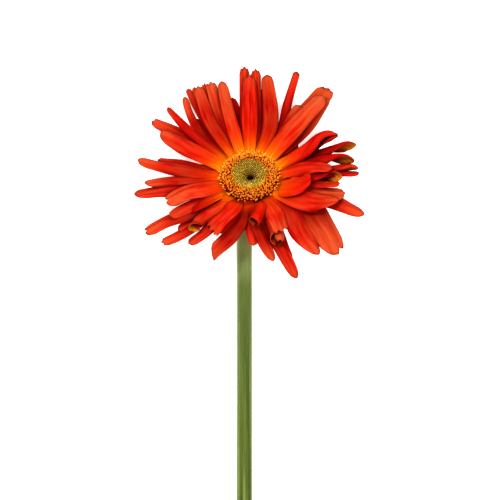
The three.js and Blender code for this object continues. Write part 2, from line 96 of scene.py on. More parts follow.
def plug(tree, made, inputs):
    """Gives a shader node its inputs. A socket is linked, and anything else is set as the value."""
    for key, value in dict(inputs).items():
        if isinstance(value, bpy.types.NodeSocket):
            tree.links.new(value, made.inputs[key])
        else:
            made.inputs[key].default_value = value


def node(tree, kind, inputs=(), **settings):
    """Adds a shader node with its settings and inputs."""
    made = tree.nodes.new(kind)
    for key, value in settings.items():
        setattr(made, key, value)
    plug(tree, made, inputs)
    return made


def new_material(name):
    """A material, with its node tree and its shader."""
    material = bpy.data.materials.new(name)
    material.use_nodes = True
    return material, material.node_tree, material.node_tree.nodes["Principled BSDF"]


def floor_material():
    material, tree, shader = new_material("white table top")
    grain = node(tree, "ShaderNodeTexNoise", {"Scale": 60.0, "Detail": 3.0})
    tone = node(tree, "ShaderNodeMix", {
        "Factor": grain.outputs["Fac"],
        "A": (0.93, 0.93, 0.93, 1.0),
        "B": (0.95, 0.95, 0.95, 1.0),
    }, data_type="RGBA")
    plug(tree, shader, {
        "Base Color": tone.outputs["Result"],
        "Roughness": 0.9,
        "Specular IOR Level": 0.1,
        "Emission Color": (1.0, 1.0, 1.0, 1.0),
        "Emission Strength": floor_glow,
    })
    return material


def soft_lamp(name, place, side, power):
    """A square lamp that faces the bloom, placed in metres from the disc's middle."""
    data = bpy.data.lights.new(name, "AREA")
    data.shape = "SQUARE"
    data.size = side
    data.energy = power
    lamp = bpy.data.objects.new(name, data)
    lamp.location = tuple(disc_middle + np.array(place))
    towards = -np.array(place)
    lamp.rotation_euler = (
        math.atan2(math.hypot(towards[0], towards[1]), -towards[2]),
        0,
        math.atan2(-towards[0], towards[1]),
    )
    bpy.context.collection.objects.link(lamp)


bpy.context.scene.view_settings.view_transform = "Standard"
bpy.context.scene.view_settings.look = "High Contrast"
world = bpy.data.worlds.new("room")
world.use_nodes = True
plug(world.node_tree, world.node_tree.nodes["Background"], {
    "Color": (1.0, 0.99, 0.98, 1.0),
    "Strength": room_light,
})
bpy.context.scene.world = world

floor_mesh = bpy.data.meshes.new("floor")
floor_corners = [(-1, -1), (1, -1), (1, 1), (-1, 1)]
floor_level = cad_low[2] - floor_drop
floor_mesh.from_pydata(
    [(x * floor_side / 2, y * floor_side / 2, floor_level) for x, y in floor_corners],
    [],
    [(0, 1, 2, 3)],
)
floor = bpy.data.objects.new("floor", floor_mesh)
floor_mesh.materials.append(floor_material())
bpy.context.collection.objects.link(floor)

soft_lamp("key lamp", place=(-0.4, 0.44, 1.55), side=0.34, power=17)
soft_lamp("fill lamp", place=(0.4, -0.32, 1.65), side=0.8, power=13)


# Stem. A leafless green stalk, fleshy, faintly ribbed and finely haired, which bends at the
# neck behind the bloom and runs along the table to its slanting cut, pale inside. Sizes from
# here on are in millimetres, and places are measured from the disc's middle.
bloom_tilt = math.radians(32)
sin_tilt, cos_tilt = math.sin(bloom_tilt), math.cos(bloom_tilt)
seat_gap = 0.3
core_bottom = -7.4
cup_depth = 9.6
cup_top = core_bottom - seat_gap
cup_bottom = cup_top - cup_depth
cup_neck_radius = 4.3
stem_radius, stem_cut_radius = 3.7, 3.95
stem_flare_end, stem_flare_inset = 0.02, 0.3
stem_side_step, stem_side_step_end = -2.45, 0.07
stem_clearance = 0.9
neck_bend_radius = 35
neck_steps, straight_steps = 40, 60
stem_sides = 64
rib_counts = (5, 9, 14)
rib_depth, rib_allowance = 0.022, 0.06
wave_phases = (0, 6.3)
total_length = 400
cut_slant, slant_before_cut = 5, 0.2
cut_ring_shares = (0.93, 0.7, 0.35)
cut_dip = 0.25
hair_count = 2600
hair_crowding = 1.3
hair_lean_up, hair_lean_aside = 0.35, 0.2
hair_radius, hair_root_depth = 0.035, 0.05
hair_lengths = (0.25, 0.6)
pressed_hair_rise, pressed_hair_length = -35, 0.05


def smooth_step(low, high, value):
    share = np.clip((value - low) / (high - low), 0, 1)
    return share * share * (3 - 2 * share)


def make_piece(name, points, faces, material, attributes):
    """One mesh that rides on the flower, with the values that its material reads at each point."""
    mesh = bpy.data.meshes.new(name)
    places = (np.asarray(points) * MM + disc_middle).tolist()
    mesh.from_pydata(places, [], [tuple(face) for face in faces])
    mesh.polygons.foreach_set("use_smooth", [True] * len(mesh.polygons))
    for key, values in attributes.items():
        layer = mesh.attributes.new(key, "FLOAT", "POINT")
        layer.data.foreach_set("value", np.asarray(values, dtype=np.float32))
    mesh.materials.append(material)
    mesh.update()
    piece = bpy.data.objects.new(name, mesh)
    bpy.context.collection.objects.link(piece)
    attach(piece, "root")
    return piece


def stem_route():
    """Middle points of the stem, its slope below level, from the involucre to the cut."""
    turn = math.pi / 2 - bloom_tilt
    start = np.array([cup_bottom - seat_gap, cup_bottom - seat_gap]) * (sin_tilt, cos_tilt)
    level = stem_radius + stem_clearance - bloom_height / MM
    lead = max(start[1] - neck_bend_radius * (1 - math.cos(turn)) - level, 0) / cos_tilt
    slopes = np.linspace(turn, 0, neck_steps)
    bend_y = start[0] - lead * sin_tilt - neck_bend_radius * (math.sin(turn) - np.sin(slopes))
    bend_z = start[1] - lead * cos_tilt - neck_bend_radius * (np.cos(slopes) - math.cos(turn))
    cut_y = bloom_reach_up / MM - total_length
    cut_z = stem_cut_radius - bloom_height / MM
    shares = np.linspace(0, 1, straight_steps + 1)[1:]
    y = np.concatenate([[start[0]], bend_y, bend_y[-1] + shares * (cut_y - bend_y[-1])])
    z = np.concatenate([[start[1]], bend_z, bend_z[-1] + shares * (cut_z - bend_z[-1])])
    slope = np.concatenate([[turn], slopes, np.zeros(len(shares))])
    return y, z, slope


def stem_surface(draw):
    """Rings of points round the stem, with the outward direction at each and the share along it."""
    y, z, slope = stem_route()
    along = (y - y[0]) / (y[-1] - y[0])
    flare = 1 - smooth_step(0, stem_flare_end, along)
    radius = stem_radius + (stem_cut_radius - stem_radius) * along
    radius = radius + flare * (cup_neck_radius - stem_flare_inset - stem_radius)
    angles = 2 * np.pi * np.arange(stem_sides) / stem_sides
    ribs = np.zeros(stem_sides)
    for count in rib_counts:
        ribs += np.cos(count * angles + draw.uniform(*wave_phases)) / count
    radius = radius[:, None] * (1 + rib_depth * ribs[None, :]) - rib_allowance
    up = radius * np.sin(angles)
    slant = np.zeros_like(up)
    slant[-1] = cut_slant * 0.5 * (1 + np.sin(angles))
    slant[-2] = np.minimum(slant[-1], slant_before_cut)
    side_step = stem_side_step * smooth_step(0, stem_side_step_end, along)
    rings = np.stack([
        side_step[:, None] + radius * np.cos(angles),
        y[:, None] - up * np.sin(slope)[:, None] + slant,
        z[:, None] + up * np.cos(slope)[:, None],
    ], axis=-1)
    outward = np.stack([
        np.cos(angles) * np.ones_like(up),
        -np.sin(angles) * np.sin(slope)[:, None],
        np.sin(angles) * np.cos(slope)[:, None],
    ], axis=-1)
    return rings, outward, along


def grid_faces(rows, columns, first=0, closed=False):
    """Quads of a grid of points, whose last column joins the first where it is closed."""
    faces = []
    for i in range(rows - 1):
        for j in range(columns if closed else columns - 1):
            after = (j + 1) % columns
            faces.append((
                first + i * columns + j,
                first + i * columns + after,
                first + (i + 1) * columns + after,
                first + (i + 1) * columns + j,
            ))
    return faces


def hair_spikes(roots, directions, lengths, radius):
    """Slim three-sided hairs that stand on the roots."""
    direction_of_no_hair = (0.31, 0.87, 0.38)
    points, faces = [], []
    for root, direction, length in zip(roots, directions, lengths):
        side = np.cross(direction, direction_of_no_hair)
        side = side / np.linalg.norm(side)
        other = np.cross(direction, side)
        first = len(points)
        for k in range(3):
            angle = 2 * math.pi * k / 3
            points.append(root + radius * (math.cos(angle) * side + math.sin(angle) * other))
        points.append(root + direction * length)
        faces += [(first + k, first + (k + 1) % 3, first + 3) for k in range(3)]
    return points, faces


def attribute(tree, name):
    """A value that the mesh holds at each point."""
    return node(tree, "ShaderNodeAttribute", attribute_name=name).outputs["Fac"]


def maths(tree, operation, first, second=0.5, third=0.5):
    made = node(tree, "ShaderNodeMath", {0: first, 1: second, 2: third}, operation=operation)
    return made.outputs["Value"]


def mix(tree, factor, first, second, blend="MIX"):
    """Two colours blended by a factor, which shows the second where it is 1."""
    return node(tree, "ShaderNodeMix", {
        "Factor": factor,
        "A": first,
        "B": second,
    }, data_type="RGBA", blend_type=blend).outputs["Result"]


def ramp(tree, factor, stops):
    """Colours blended along a factor, from (position, colour) stops."""
    made = node(tree, "ShaderNodeValToRGB", {"Fac": factor})
    while len(made.color_ramp.elements) < len(stops):
        made.color_ramp.elements.new(1.0)
    for element, (position, colour) in zip(made.color_ramp.elements, stops):
        element.position = position
        element.color = colour
    return made.outputs["Color"]


def falling(tree, factor, low, high, most=1.0):
    """A share that falls from the most at low to nothing at high."""
    return ramp(tree, factor, [(low, (most, most, most, 1)), (high, (0, 0, 0, 1))])


def stretched_noise(tree, across, along, across_scale, along_scale, detail=2.0):
    """Noise drawn out into fibres, from how far across and along the piece a point is."""
    place = node(tree, "ShaderNodeCombineXYZ", {
        "X": maths(tree, "MULTIPLY", across, across_scale),
        "Y": maths(tree, "MULTIPLY", along, along_scale),
    })
    return node(tree, "ShaderNodeTexNoise", {
        "Vector": place.outputs["Vector"],
        "Scale": 1.0,
        "Detail": detail,
    }).outputs["Fac"]


def bump(tree, height, strength, distance):
    return node(tree, "ShaderNodeBump", {
        "Height": height,
        "Strength": strength,
        "Distance": distance,
    }).outputs["Normal"]


def stem_material():
    material, tree, shader = new_material("green stem")
    across, along, cut = (attribute(tree, name) for name in ("across", "along", "cut"))
    stripes = stretched_noise(tree, across, along, 9.0, 3.0)
    fibres = stretched_noise(tree, across, along, 60.0, 30.0, 4.0)
    green = ramp(tree, stripes, [
        (0.38, srgb(84, 98, 42)),
        (0.5, srgb(106, 118, 60)),
        (0.62, srgb(136, 148, 88)),
    ])
    # A paler, greyer neck: partly the stem's own colour, partly painted light that lifts the shadow the
    # bloom casts on it
    paler_neck_and_painted_light = ramp(tree, along, [
        (0.07, srgb(164, 174, 130)),
        (0.13, srgb(108, 122, 76)),
        (0.35, srgb(102, 116, 62)),
    ])
    skin = mix(tree, falling(tree, along, 0.1, 0.35, 0.8), green, paler_neck_and_painted_light)
    fibre_tones = ramp(tree, fibres, [(0.35, srgb(80, 96, 36)), (0.65, srgb(150, 160, 100))])
    skin = mix(tree, 0.4, skin, fibre_tones, "SOFT_LIGHT")
    cut_bundles = ramp(tree, stretched_noise(tree, across, cut, 40.0, 3.0), [
        (0.4, srgb(188, 200, 132)),
        (0.65, srgb(226, 228, 186)),
    ])
    plug(tree, shader, {
        "Base Color": mix(tree, maths(tree, "GREATER_THAN", cut, 0.02), skin, cut_bundles),
        "Normal": bump(tree, fibres, 0.35, 0.2 * MM),
        "Roughness": 0.55,
        "Specular IOR Level": 0.15,
        "Sheen Weight": 0.7,
        "Sheen Roughness": 0.4,
        "Sheen Tint": (0.85, 1.0, 0.6, 1.0),
        "Subsurface Weight": 0.15,
        "Subsurface Radius": (0.5, 1.0, 0.3),
        "Subsurface Scale": 1.2 * MM,
    })
    return material


# The skin, from the neck to the cut
stem_random = random.Random(3)
stem_rings, stem_outward, stem_along = stem_surface(stem_random)
ring_count = len(stem_rings)
round_shares = np.arange(stem_sides) / stem_sides
points = stem_rings.reshape(-1, 3).tolist()
faces = grid_faces(ring_count, stem_sides, closed=True)
across_values = np.tile(round_shares, ring_count).tolist()
along_values = np.repeat(stem_along, stem_sides).tolist()
cut_values = [0.0] * len(points)

# The cut face, in rings that dip towards its middle, and the closed top under the involucre
cut_middle = stem_rings[-1].mean(axis=0)
for share in cut_ring_shares:
    faces += grid_faces(2, stem_sides, len(points) - stem_sides, closed=True)
    ring = cut_middle + (stem_rings[-1] - cut_middle) * share + (0, cut_dip * (1 - share), 0)
    points += ring.tolist()
    across_values += round_shares.tolist()
    along_values += [1.0] * stem_sides
    cut_values += [1.1 - share] * stem_sides
last_ring = len(points) - stem_sides
faces += [(last_ring + k, last_ring + (k + 1) % stem_sides, len(points)) for k in range(stem_sides)]
points.append((cut_middle + (0, cut_dip, 0)).tolist())
faces += [((k + 1) % stem_sides, k, len(points)) for k in range(stem_sides)]
points.append(stem_rings[0].mean(axis=0).tolist())
across_values += [0.0, 0.0]
along_values += [1.0, 0.0]
cut_values += [1.0, 0.0]

# The hairs, closer together towards the neck, and pressed short along the table
roots, directions, lengths = [], [], []
for _ in range(hair_count):
    i = min(int(stem_random.random() ** hair_crowding * (ring_count - 3)), ring_count - 4)
    j = stem_random.randrange(stem_sides)
    between = stem_random.random()
    lean_up = hair_lean_up * stem_random.random()
    lean_aside = hair_lean_aside * stem_random.gauss(0, 1)
    direction = stem_outward[i, j] + (lean_aside, lean_up, 0)
    skin_point = stem_rings[i, j] * (1 - between) + stem_rings[i + 1, j] * between
    roots.append(skin_point - hair_root_depth * stem_outward[i, j])
    directions.append(direction / np.linalg.norm(direction))
    pressed = stem_rings[i, j][2] <= pressed_hair_rise
    lengths.append(pressed_hair_length if pressed else stem_random.uniform(*hair_lengths))
hair_points, hair_faces = hair_spikes(roots, directions, lengths, hair_radius)
faces += [tuple(len(points) + corner for corner in face) for face in hair_faces]
points += [list(point) for point in hair_points]
for values, hair_value in ((across_values, 0.5), (along_values, 0.5), (cut_values, 0.0)):
    values += [hair_value] * len(hair_points)
stem = make_piece("green_stem", points, faces, stem_material(), {
    "across": across_values,
    "along": along_values,
    "cut": cut_values,
})
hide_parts("stem")


# Involucre. The green cup under the bloom, grown out of the stem, wrapped in three rows of
# narrow pointed bracts with hairy edges, which overlap like tiles and hold the petals' feet.
core_radius = 12.4
cup_inset = 0.6
cup_sides = 48
axis_pin_hole = 0.05
bract_thickness = 0.45
bract_rows = [
    {"count": 13, "from": 0.2, "length": 9.0, "width": 3.0, "lean": 0.5},
    {"count": 17, "from": 2.6, "length": 9.0, "width": 3.0, "lean": 0.8},
    {"count": 21, "from": 4.8, "length": 8.0, "width": 2.8, "lean": 1.0},
]
edge_hair_tries = 24
edge_hair_radius = 0.04
edge_hair_lengths = (0.4, 0.9)


def from_head(points):
    """Points of the bloom's own frame, whose third axis stands up out of the disc, laid in place."""
    x, y, z = np.moveaxis(np.asarray(points, dtype=float), -1, 0)
    return np.stack([x, y * cos_tilt + z * sin_tilt, z * cos_tilt - y * sin_tilt], axis=-1)


def cup_radius(height):
    share = np.clip(height / cup_depth, 0, 1)
    widening = core_radius - cup_inset - cup_neck_radius
    return cup_neck_radius + widening * np.sin(math.pi / 2 * share) ** 0.9


def blade_shell(surface, thickness):
    """Both faces of a thin blade round its middle surface, and which side each point is on."""
    rows, columns = surface.shape[:2]
    lengthwise = np.gradient(surface, axis=0)
    crosswise = np.gradient(surface, axis=1)
    normal = np.cross(crosswise, lengthwise)
    normal /= np.maximum(np.linalg.norm(normal, axis=-1, keepdims=True), 1e-9)
    edge = np.abs(np.linspace(-1, 1, columns)) ** 4
    edge_share = 0.4
    depth = (thickness / 2) * (1 - (1 - edge_share) * edge)[None, :, None]
    upper, lower = surface + normal * depth, surface - normal * depth
    points = np.concatenate([upper.reshape(-1, 3), lower.reshape(-1, 3)])
    below = rows * columns
    faces = [face[::-1] for face in grid_faces(rows, columns)]
    faces += grid_faces(rows, columns, below)
    rim = [(0, j) for j in range(columns - 1)] + [(i, columns - 1) for i in range(rows - 1)]
    rim += [(rows - 1, j) for j in range(columns - 1, 0, -1)]
    rim += [(i, 0) for i in range(rows - 1, 0, -1)]
    corners = [i * columns + j for i, j in rim]
    for corner, after in zip(corners, corners[1:] + corners[:1]):
        faces.append((corner, after, after + below, corner + below))
    return points, faces, np.repeat([0.0, 1.0], below)


def joined_parts(parts):
    """One list of points, faces and values from several parts."""
    points, faces, values = [], [], {}
    for part_points, part_faces, part_values in parts:
        first = sum(len(group) for group in points)
        points.append(np.asarray(part_points))
        faces += [tuple(first + corner for corner in face) for face in part_faces]
        for key, value in part_values.items():
            values.setdefault(key, []).append(np.broadcast_to(value, len(part_points)))
    values = {key: np.concatenate(value) for key, value in values.items()}
    return np.concatenate(points), faces, values


def turned_form(profile, sides):
    """A form turned round an axis from (radius, height) rings. A radius may vary round its ring."""
    angles = 2 * np.pi * np.arange(sides) / sides
    rings = [np.stack([
        radius * np.cos(angles),
        radius * np.sin(angles),
        np.full(sides, float(height)),
    ], axis=-1) for radius, height in profile]
    return np.concatenate(rings), grid_faces(len(profile), sides, closed=True)


def bract(angle, row, length, bend):
    """One bract from its foot on the cup, leaning out and bent aside."""
    steps, columns = 12, 7
    t = np.linspace(0, 1, steps)
    height = np.minimum(row["from"] + t * length * 0.8, cup_depth + 0.1)
    distance = cup_radius(height) - 0.5 + (0.6 + row["lean"]) * np.sqrt(t) + 0.3 * bend * t ** 3
    half = row["width"] / 2 * (0.75 + 0.25 * smooth_step(0, 0.3, t)) * (1 - t ** 2.2) ** 0.8 + 0.05
    across = np.linspace(-1, 1, columns)
    swing = angle + 0.05 * bend * t ** 2
    side = half[:, None] * across[None, :]
    midrib = 0.08 * (np.abs(across[None, :]) < 0.1)
    lift = midrib - 0.16 * half[:, None] * np.abs(across[None, :]) ** 1.6
    radius = distance[:, None] + lift
    surface = np.stack([
        radius * np.cos(swing)[:, None] - side * np.sin(swing)[:, None],
        radius * np.sin(swing)[:, None] + side * np.cos(swing)[:, None],
        np.broadcast_to((cup_bottom + height)[:, None], side.shape),
    ], axis=-1)
    points, faces, _ = blade_shell(surface, bract_thickness)
    return points, faces, {
        "along": np.tile(np.repeat(t, columns), 2),
        "across": np.tile(np.tile(across, steps), 2),
    }


def rising(tree, factor, low, high, most=1.0):
    """A share that grows from nothing at low to the most at high."""
    return ramp(tree, factor, [(low, (0, 0, 0, 1)), (high, (most, most, most, 1))])


def involucre_material():
    material, tree, shader = new_material("green bracts")
    along, across = attribute(tree, "along"), attribute(tree, "across")
    veins = stretched_noise(tree, across, along, 7.0, 2.0, 3.0)
    green = ramp(tree, veins, [(0.3, srgb(70, 92, 30)), (0.7, srgb(128, 146, 70))])
    plug(tree, shader, {
        "Base Color": mix(tree, rising(tree, along, 0.72, 1.0), green, srgb(112, 58, 34)),
        "Normal": bump(tree, veins, 0.4, 0.2 * MM),
        "Roughness": 0.62,
        "Specular IOR Level": 0.3,
        "Sheen Weight": 0.3,
    })
    return material


involucre_random = random.Random(21)
cup_heights = np.linspace(0, cup_depth, 12)
cup_side = [(float(cup_radius(height)), cup_bottom + height) for height in cup_heights]
cup_profile = [(axis_pin_hole, cup_bottom), *cup_side, (axis_pin_hole, cup_top)]
parts = [(*turned_form(cup_profile, cup_sides), {"along": 0.2, "across": 0.0})]
edge_roots, edge_directions, edge_lengths = [], [], []
for row in bract_rows:
    for k in range(row["count"]):
        turn = 2 * math.pi * (k + 0.3 * involucre_random.random()) / row["count"]
        length = row["length"] * involucre_random.uniform(0.92, 1.08)
        part = bract(turn, row, length, involucre_random.uniform(-1, 1))
        parts.append(part)
        bract_points, bract_across = part[0], part[2]["across"]
        for corner in involucre_random.sample(range(len(bract_points) // 2), edge_hair_tries):
            if abs(bract_across[corner]) > 0.9:
                edge_roots.append(bract_points[corner])
                outwards = bract_points[corner] * (1, 1, 0)
                direction = outwards / np.linalg.norm(outwards)
                direction = direction + [involucre_random.gauss(0, 0.5) for _ in range(3)]
                edge_directions.append(direction / np.linalg.norm(direction))
                edge_lengths.append(involucre_random.uniform(*edge_hair_lengths))
hair_points, hair_faces = hair_spikes(edge_roots, edge_directions, edge_lengths, edge_hair_radius)
parts.append((hair_points, hair_faces, {"along": 0.3, "across": 0.0}))
points, faces, values = joined_parts(parts)
involucre = make_piece(
    "green_involucre", from_head(points), faces, involucre_material(), values,
)
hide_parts("involucre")


# Ray petals. Thin soft strap-shaped florets in three loose rows, grown round the disc's rim,
# orange at the foot and orange-red beyond, grooved lengthwise, many rolled, twisted or drooping.
core_top = -3.9
petal_root_radius, petal_rim_radius = 11.6, 14.4
buried_rise = {"inner": -5.0, "middle": -5.5, "outer": -6.0}
rim_rise = {"inner": -2.5, "middle": -3.3, "outer": -4.2}
# How much painted shade each row gets where the rows above cover it
row_shade = {"inner": 0.0, "middle": 0.5, "outer": 1.0}
petal_thickness = 0.36
petal_steps, petal_columns = 26, 25
spine_steps = 120
foot_width, full_width_at = 0.74, 0.42
roll_waver = 14
crease_places = (-0.36, 0.33)
crease_width, crease_depth = 0.2, 0.4
plain_petal = {
    "tip": 0.75,  # length of the rounded end, in widths
    "taper": 0.8,  # width towards the end, as a share
    "close": 0,  # how far the very end draws in, as a share
    "teeth": 0.25,  # depth of the teeth at the end
    "notch": 0,  # depth of a notch in the end
    "notch_at": 0.1,  # place of the notch, from -1 at one edge to 1 at the other
    "mouth": 0,  # how far the end's middle falls back behind its edges
    "skew": 0,  # how far one edge of the end falls back behind the other
    "twist": 0,  # turn about the petal's own length, in degrees
    "turn_from": 0.2,  # where along the petal the twist starts, as a share
    "foot": 0,  # how much shorter than usual the orange foot is
    # A tone below 0 is painted shade, for petals that lie in shadow between others
    "tone": 0.5,  # from deep red at 0 to bright red at 1, and darker still below 0
    # The dark inside a rolled petal is painted shade
    "lip": 0.72,  # where along a rolled petal the dark of its inside ends, as a share
    "lining": 1.0,  # how ochre the inside of a rolled petal is, as a share
}


def petal(row, width, roll, *path, **details):
    """roll is the arch across in degrees at the foot and at the tip, edges back where it is positive.
    path is where the petal is seen from straight above, with its rise over the disc's plane."""
    return {**plain_petal, "row": row, "width": width, "roll": roll, "path": path, **details}


